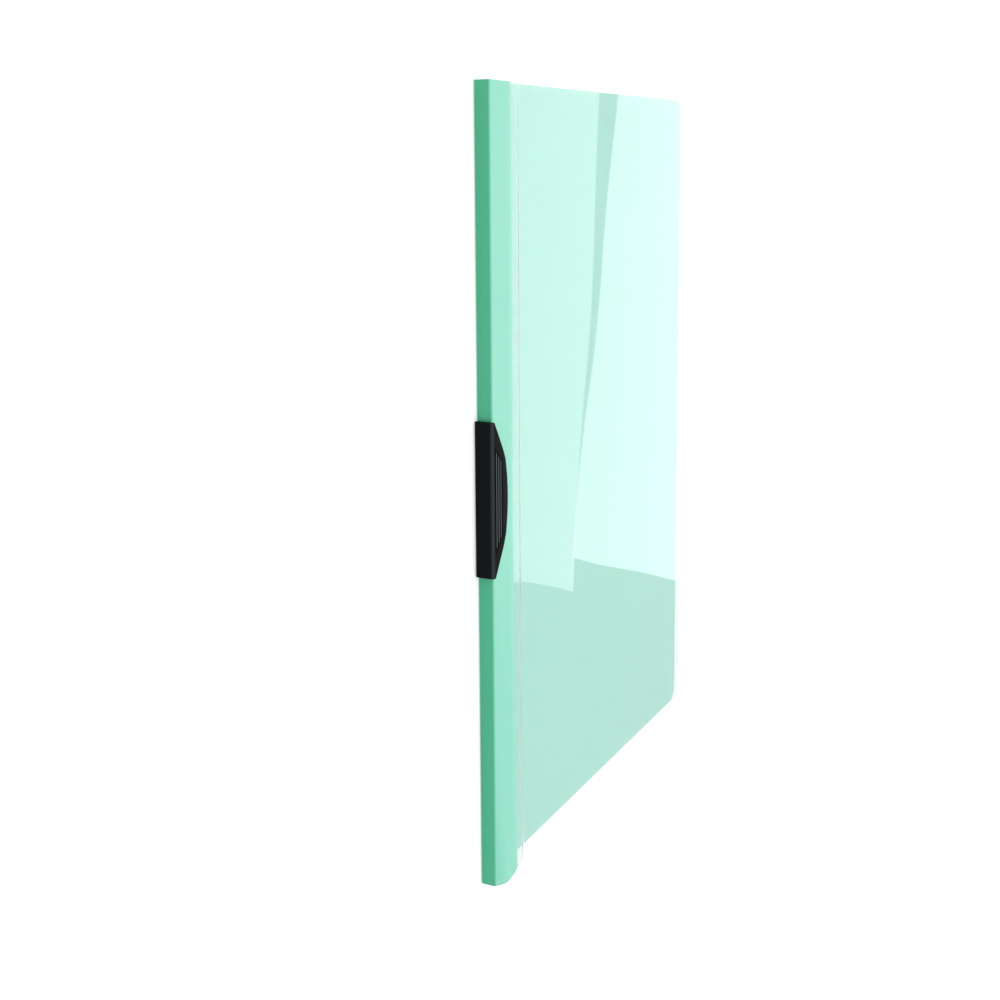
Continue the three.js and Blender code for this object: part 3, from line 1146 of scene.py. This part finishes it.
@dataclass
class FrontCover(Piece):
    """Clear front cover: a film welded under the strip, which dips to the back cover and lies on it."""

    node: ClassVar[str] = "front_cover"
    slot: ClassVar[str] = "clear_film"
    body: ClassVar[Body] = Body.COVER
    flange_start: float = 13.4
    flange_z: float = 5.9
    clearance: float = 0.3
    bend_start: float = 16.4
    bend_end: float = 19.4
    wave: float = 0.08
    wave_fade: float = 50.0
    waves: tuple[LongWave, ...] = (
        LongWave(1.0, 31.0, 67.0, 0.4),
        LongWave(0.8, 19.0, -43.0, 1.9),
        LongWave(0.5, 57.0, 23.0, 4.0),
        LongWave(0.35, 13.0, 29.0, 2.2),
    )

    def height(self, x: Array, y: Array) -> Array:
        """Height of the film's middle over the table.

        Under the strip it follows it. Past the strip's end it runs on nearly level and then falls along
        a smooth S to its clearance over the back sheet. On the flat it rises and falls by the sum of
        the long waves, which fades out towards the fall and never takes it lower.

        Args:
            x, y: places on the film.

        Returns:
            Millimetres.
        """
        low = SIZE.sheet + self.clearance + SIZE.film / 2
        start = SIZE.strip + self.clearance
        flare = FLARE.share(y)
        past = FLARE.edge - FLARE.slope * (x - SIZE.strip)
        lead = self.flange_z + flare * np.where(x < SIZE.strip, FLARE.lift(x), past)
        fall_start = start + SIZE.jog_level + flare * FLARE.fall_shift
        fall_end = start + SIZE.jog + flare * FLARE.rest_shift
        level = lead + (low - lead) * smoothstep(fall_start, fall_end, x)
        swell = sum(wave.at(x, y) for wave in self.waves)
        whole = sum(wave.share for wave in self.waves)
        fade = smoothstep(start + SIZE.jog, start + SIZE.jog + self.wave_fade, x)
        return level + self.wave * fade * (swell + whole) / whole

    def shape(self) -> bpy.types.Object:
        """Lays a grid over the film and gives it its thickness along the slope's normal.

        Returns:
            The closed film.
        """
        y = stations(middle=150, corner=14)
        flange = np.linspace(self.flange_start, SIZE.strip, 10)
        jog = np.linspace(SIZE.strip, SIZE.strip + SIZE.jog + 2.0, 56)[1:]
        flat = np.linspace(0.0, 1.0, 120)[1:]
        begin = jog[-1]
        reach = corner_edge(y, SIZE.cover_edge)[:, None]
        fixed = np.broadcast_to(np.concatenate([flange, jog]), (len(y), len(flange) + len(jog)))
        x = np.concatenate([fixed, begin + flat * (reach - begin)], axis=1)
        place_y = np.broadcast_to(y[:, None], x.shape)
        z = self.height(x, place_y)
        slope = (self.height(x + PROBE, place_y) - self.height(x - PROBE, place_y)) / (2 * PROBE)
        size = np.sqrt(1.0 + slope * slope)
        nx, nz = -slope / size, 1.0 / size
        half = SIZE.film / 2
        ring_x = np.concatenate([x + nx * half, (x - nx * half)[:, ::-1]], axis=1)
        ring_z = np.concatenate([z + nz * half, (z - nz * half)[:, ::-1]], axis=1)
        ring_y = np.broadcast_to(y[:, None], ring_x.shape)
        obj = make_object("clear_front_cover", row(ring_x, ring_y, ring_z), tube_faces(*ring_x.shape))
        face_outward(obj)
        return obj

    def attach(self, obj: bpy.types.Object) -> None:
        """Bakes the film's placing into its mesh. The ends of the bend are worked out, but nothing uses
        them.

        Args:
            obj: the finished film.
        """
        bend = np.array([self.bend_start, self.bend_end])
        start, end = row(bend, np.zeros(2), np.full(2, self.flange_z))
        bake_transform(obj)


@dataclass
class SwingClip(Piece):
    """The clip: web over the spine, D-shaped ribbed arm over the strip, and hinge knuckles."""

    node: ClassVar[str] = "swing_clip"
    slot: ClassVar[str] = "black_plastic"
    body: ClassVar[Body] = Body.CLIP
    shoulder_x: float = 8.7
    shoulder_y: float = 14.75
    reach: float = 10.9
    outer_round: float = 1.5
    heel_round: float = 0.9
    shoulder_round: float = 0.2
    edge_round: float = 0.35
    root_round: float = 0.8
    taper: float = 0.6
    taper_start: float = 5.0
    grooves: int = 4
    groove_pitch: float = 1.75
    groove_first: float = -0.55
    groove_half_width: float = 0.46
    groove_depth: float = 0.5
    groove_half_length: float = 20.4
    groove_step: float = 1.6
    groove_end_round: float = 0.35
    groove_floor_round: float = 0.2
    groove_lip_round: float = 0.14
    bore_stop: float = 1.2
    # strengths of the painted highlight on the rib crests and on the corner
    rib_shine: float = 0.7
    corner_shine: float = 0.2
    samples: Grid = Grid((-2.72, -30.6, -0.28), (11.3, 30.6, 8.5), (0.13, 0.22, 0.13))

    @property
    def plan(self) -> DPlan:
        """The plan that the clip is cut to. Its slants start where the outer corner's round ends."""
        return DPlan(
            start=SIZE.clip_outer + self.outer_round,
            half=SIZE.clip_half,
            shoulder_x=self.shoulder_x,
            shoulder_y=self.shoulder_y,
            reach=self.reach,
            end_round=self.shoulder_round,
            shoulder_round=self.shoulder_round,
        )

    def distance(self, x: Array, y: Array, z: Array) -> Array:
        """Signed distance of the whole clip.

        The angle section is the union of web and arm. It is cut to the plan with rounded edges, the
        finger grooves are taken out, and the hinge barrel is added. Behind the web's outer face the
        two pockets for the lugs and the bore for the pin are taken out.

        Args:
            x, y, z: places.

        Returns:
            Millimetres, negative inside.
        """
        taper = self.taper * smoothstep(self.taper_start, self.reach + 1.0, x)
        top = z - (SIZE.clip_top - taper)
        outer = round_and(SIZE.clip_outer - x, top, self.outer_round)
        arm = SIZE.clip_under - z
        foot = SIZE.hinge_z - SIZE.knuckle - z
        web = np.maximum(x - SIZE.clip_inner, foot)
        heel = round_and(SIZE.clip_outer - x, foot, self.heel_round)
        angle = np.maximum(np.maximum(outer, heel), round_or(arm, web, self.root_round))
        solid = round_and(angle, self.plan.distance(x, y), self.edge_round)
        for i in range(self.grooves):
            centre = self.groove_first + i * self.groove_pitch
            half = self.groove_half_length - i * self.groove_step
            side = np.abs(x - centre) - self.groove_half_width
            walls = round_and(side, np.abs(y) - half, self.groove_end_round)
            floor = SIZE.clip_top - self.groove_depth - z
            groove = round_and(walls, floor, self.groove_floor_round)
            solid = round_and(solid, -groove, self.groove_lip_round)
        spoke = from_hinge(x, z)
        barrel = round_and(spoke - SIZE.knuckle, np.abs(y) - SIZE.clip_half, self.edge_round)
        solid = np.minimum(solid, barrel)
        lug = past_lug(y) - SIZE.hinge_gap
        passage = SIZE.lug_thickness / 2 + SIZE.hinge_gap
        pocket = np.maximum(SIZE.hinge_x - passage - x, z - SIZE.hinge_z - passage)
        pocket = np.minimum(pocket, spoke - SIZE.eye - SIZE.hinge_gap)
        solid = np.maximum(solid, -np.maximum(pocket, lug))
        bore = np.maximum(spoke - SIZE.bore, -(y + SIZE.clip_half - self.bore_stop))
        return np.maximum(solid, -bore)

    def painted_highlight(self, x: Array, y: Array, z: Array) -> Array:
        """Painted highlight on the clip: the crests of the ribs and the rounded outer corner, where
        they catch the light.

        Args:
            x, y, z: places on the surface.

        Returns:
            A share from 0 to 1, which falls off smoothly to both sides of each crest.
        """
        ribs = np.arange(self.grooves - 1)
        rib = self.groove_first + self.groove_pitch * (ribs + 0.5)
        half = self.groove_half_length - self.groove_step * (ribs + 1)
        across = 1.0 - smoothstep(0.1, 0.42, np.abs(x[:, None] - rib))
        along = 1.0 - smoothstep(half - 1.5, half, np.abs(y)[:, None])
        high = smoothstep(SIZE.clip_top - 0.25, SIZE.clip_top - 0.05, z)
        middle = SIZE.clip_outer + self.outer_round * 0.3
        corner = (1.0 - smoothstep(0.2, 0.8, np.abs(x - middle))) * smoothstep(6.5, 7.4, z)
        return self.rib_shine * (across * along).max(axis=1) * high + self.corner_shine * corner

    def shape(self) -> bpy.types.Object:
        """Builds the surface of the distance field."""
        # painted highlight on the rib crests and the rounded corner
        paint = {"painted_highlight": self.painted_highlight}
        return surface_of("moulded_swing_clip", self.samples, self.distance, paint)


@dataclass
class ClipBase(Piece):
    """The fixed half of the clip: plate, hairpin bend, spring tongue, hinge lugs and rivets."""

    node: ClassVar[str] = "clip_base"
    slot: ClassVar[str] = "black_plastic"
    body: ClassVar[Body] = Body.FOLDER
    half_length: float = 27.0
    shoulder_half: float = 14.0
    reach: float = 12.6
    shoulder_reach: float = 10.2
    start: float = 1.2
    thickness: float = 1.0
    tongue: float = 0.6
    bend: float = 1.1
    crest_x: float = 5.6
    crest_z: float = 5.55
    lip: float = 2.4
    lip_drop: float = 0.7
    edge_round: float = 0.15
    end_round: float = 0.8
    shoulder_round: float = 1.0
    rivet_dome: float = 0.08
    samples: Grid = Grid((-2.1, -27.6, -0.2), (13.1, 27.6, 6.0), (0.12, 0.24, 0.12))

    @property
    def plan(self) -> DPlan:
        """The base's plan, the clip's D shape a little smaller."""
        return DPlan(
            start=self.start + self.thickness,
            half=self.half_length,
            shoulder_x=self.shoulder_reach,
            shoulder_y=self.shoulder_half,
            reach=self.reach,
            end_round=self.end_round,
            shoulder_round=self.shoulder_round,
        )

    def distance(self, x: Array, y: Array, z: Array) -> Array:
        """Signed distance of the whole base.

        The tongue is a band of even thickness about a line that leaves the bend and rises to the
        crest on a smooth curve, then dips at its lip.

        Args:
            x, y, z: places.

        Returns:
            Millimetres, negative inside.
        """
        floor = SIZE.sheet
        bend_x, bend_z = self.reach - self.bend, floor + self.bend
        plate = np.maximum(slab(z, floor, floor + self.thickness), slab(x, self.start, bend_x))
        around = np.sqrt((x - bend_x) ** 2 + (z - bend_z) ** 2)
        hairpin = np.maximum(slab(around, self.bend - self.tongue, self.bend), bend_x - x)
        low = bend_z + self.bend - self.tongue / 2
        high = self.crest_z - self.tongue / 2
        rise = smoothstep(0.0, 1.0, (bend_x - x) / (bend_x - self.crest_x))
        lip = self.lip_drop * smoothstep(0.0, self.lip, self.crest_x - x)
        line = low + (high - low) * rise - lip
        steep = 1.5 * (high - low) / (bend_x - self.crest_x) * 4 * rise * (1 - rise)
        band = (np.abs(z - line) - self.tongue / 2) / np.sqrt(1 + steep**2)
        tongue = np.maximum(band, slab(x, self.crest_x - self.lip, bend_x))
        body = np.minimum(np.minimum(plate, hairpin), tongue)
        solid = round_and(body, self.plan.distance(x, y), self.edge_round)
        spoke = from_hinge(x, z)
        lug = past_lug(y)
        blade_top = np.abs(z - SIZE.hinge_z) - SIZE.lug_thickness / 2
        blade = np.maximum(blade_top, slab(x, SIZE.hinge_x, self.start + self.thickness))
        eye = np.minimum(spoke - SIZE.eye, blade)
        solid = np.minimum(solid, round_and(eye, lug, self.edge_round))
        bore = np.maximum(spoke - SIZE.bore, lug - 1.0)
        return np.maximum(solid, -bore)

    def shape(self) -> bpy.types.Object:
        """Builds the surface of the distance field and joins the rivets to it.

        Returns:
            The closed base.
        """
        base = surface_of("moulded_clip_base", self.samples, self.distance)
        profile = np.array([[1.2, 0.02], [1.45, 0.0], [1.6, self.rivet_dome], [1.2, 0.6]])
        rivets = [turned("rivet", profile, place, "z", ROUND_STEPS) for place in SIZE.rivets]
        combine(base, rivets, Combining.UNITE)
        return base


@dataclass
class HingePin(Piece):
    """The steel pin, with a small chamfer at each end."""

    node: ClassVar[str] = "hinge_pin"
    slot: ClassVar[str] = "steel_wire"
    body: ClassVar[Body] = Body.FOLDER
    radius: float = 0.3
    foot: float = -28.74
    head: float = 29.2
    chamfer: float = 0.08

    def shape(self) -> bpy.types.Object:
        """Turns the pin's profile: its radius, less a chamfer at both ends.

        Returns:
            The closed pin.
        """
        length = self.head - self.foot
        tip = self.radius - self.chamfer
        profile = np.array(
            [
                [tip, 0.0],
                [self.radius, self.chamfer],
                [self.radius, length - self.chamfer],
                [tip, length],
            ]
        )
        return turned("hinge_wire", profile, (SIZE.hinge_x, self.foot, SIZE.hinge_z), "y", 32)


# Studio


@dataclass(frozen=True)
class CameraPose:
    """Where the camera stands, in folder millimetres, and its lens."""

    place: tuple[float, float, float] = (-461.7, 125.2, 244.6)
    right: tuple[float, float, float] = (0.4519, -0.0073, 0.892)
    up: tuple[float, float, float] = (0.1381, 0.9885, -0.0619)
    lens: float = 51.09
    sensor: float = 36.0
    shift_y: float = -0.12
    nearest: float = 0.02
    farthest: float = 30.0

    def make(self) -> bpy.types.Object:
        """Makes the camera. It is rolled, so that the folder's length stands upright in the picture.

        Returns:
            The camera, already the scene's.
        """
        data = bpy.data.cameras.new("camera")
        data.lens = self.lens
        data.sensor_width = self.sensor
        data.shift_y = self.shift_y
        data.clip_start, data.clip_end = self.nearest, self.farthest
        right = Vector(self.right).normalized()
        back = right.cross(Vector(self.up)).normalized()
        up = back.cross(right)
        turn = Matrix((right, up, back)).transposed().to_4x4()
        camera = bpy.data.objects.new("camera", data)
        place = row(*(np.array([v]) for v in self.place))[0]
        camera.matrix_world = Matrix.Translation(Vector(place)) @ turn
        bpy.context.scene.collection.objects.link(camera)
        bpy.context.scene.camera = camera
        return camera


@dataclass(frozen=True)
class Panel:
    """A soft box of light, placed in metres in the row frame."""

    name: str
    centre: tuple[float, float, float]
    target: tuple[float, float, float]
    size: tuple[float, float]
    power: float
    roll: float = 0.0

    def make(self) -> bpy.types.Object:
        """Makes the area lamp, turned towards its target.

        Returns:
            The lamp.
        """
        data = bpy.data.lights.new(self.name, "AREA")
        data.shape = "RECTANGLE"
        data.size, data.size_y = self.size
        data.energy = self.power
        lamp = bpy.data.objects.new(self.name, data)
        centre = Vector(self.centre)
        aim = (Vector(self.target) - centre).to_track_quat("-Z", "Y").to_matrix().to_4x4()
        turn = Matrix.Rotation(self.roll, 4, "Z")
        lamp.matrix_world = Matrix.Translation(centre) @ aim @ turn
        bpy.context.scene.collection.objects.link(lamp)
        return lamp


@dataclass
class Studio:
    """Floor, world, lamps and camera."""

    camera: CameraPose = field(default_factory=CameraPose)
    floor_size: float = 40.0
    floor_drop: float = 0.0001
    floor_grey: float = 0.86
    floor_glow: float = 0.45
    world_level: float = 0.62
    panels: tuple[Panel, ...] = (
        Panel("overhead_box", (0.1, 0.0, 1.3), (0.0, 0.0, 0.0), (1.6, 1.6), power=9.5),
        Panel(
            "mirror_box_low",
            (0.939, -0.011, 0.314),
            (0.0, -0.011, 0.314),
            (0.682, 0.168),
            power=0.42,
            roll=-0.094,
        ),
        Panel(
            "mirror_box_high",
            (0.939, -0.025, 0.525),
            (0.0, -0.025, 0.525),
            (0.71, 0.231),
            power=0.43,
            roll=-0.055,
        ),
    )

    def floor(self) -> bpy.types.Object:
        """Makes the pale floor, which shows white to the camera and keeps the shadow.

        Returns:
            The floor, which isn't a piece of the folder.
        """
        half = self.floor_size / 2
        level = -self.floor_drop
        corners = ((-half, -half), (half, -half), (half, half), (-half, half))
        points = np.array([(x, y, level) for x, y in corners])
        floor = make_object("floor", points, [(0, 1, 2, 3)])
        material, tree = new_material("white_floor")
        paint = (self.floor_grey, self.floor_grey, self.floor_grey, 1.0)
        shader = add(tree, "ShaderNodeBsdfPrincipled", Base_Color=paint, Roughness=0.6)
        glow = add(tree, "ShaderNodeEmission", Color=WHITE, Strength=self.floor_glow)
        both = add(tree, "ShaderNodeAddShader", i0=shader.outputs[0], i1=glow.outputs[0])
        ray = add(tree, "ShaderNodeLightPath")
        seen = ray.outputs["Is Camera Ray"]
        for kind in ("Is Glossy Ray", "Is Transmission Ray"):
            larger = {"operation": "MAXIMUM"}
            seen = add(tree, "ShaderNodeMath", larger, i0=seen, i1=ray.outputs[kind]).outputs[0]
        mixed = add(tree, "ShaderNodeMixShader", i0=seen, i1=shader.outputs[0], i2=both.outputs[0])
        add(tree, "ShaderNodeOutputMaterial", Surface=mixed.outputs[0])
        floor.data.materials.append(material)
        return floor

    def world(self) -> None:
        """Makes the even grey light from all round, which the camera sees as a white room."""
        world = bpy.data.worlds.new("studio_room")
        world.use_nodes = True
        tree = world.node_tree
        tree.nodes.clear()
        ray = add(tree, "ShaderNodeLightPath")
        seen = ray.outputs["Is Camera Ray"]
        light = add(tree, "ShaderNodeBackground", Color=WHITE, Strength=self.world_level)
        white = add(tree, "ShaderNodeBackground", Color=WHITE, Strength=1.0)
        room = add(tree, "ShaderNodeMixShader", i0=seen, i1=light.outputs[0], i2=white.outputs[0])
        add(tree, "ShaderNodeOutputWorld", Surface=room.outputs[0])
        bpy.context.scene.world = world

    def make(self) -> None:
        """Makes the whole studio."""
        self.world()
        self.floor()
        for panel in self.panels:
            panel.make()
        self.camera.make()
        bpy.context.scene.view_settings.view_transform = "Standard"


@dataclass
class ClipFolder:
    """The whole folder."""

    pieces: list[Piece] = field(
        default_factory=lambda: [
            FolderSheet(SatinSheet()),
            FrontCover(ClearFilm()),
            SwingClip(MouldedBlack()),
            ClipBase(MouldedBlack()),
            HingePin(DrawnWire()),
        ]
    )

    def make(self) -> None:
        """Makes every piece."""
        for piece in self.pieces:
            piece.make()


def main() -> None:
    """Makes the folder and its studio."""
    logging.basicConfig(level=logging.INFO, format="%(name)s %(message)s")
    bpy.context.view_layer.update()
    Studio().make()
    ClipFolder().make()


if __name__ == "__main__":
    main()
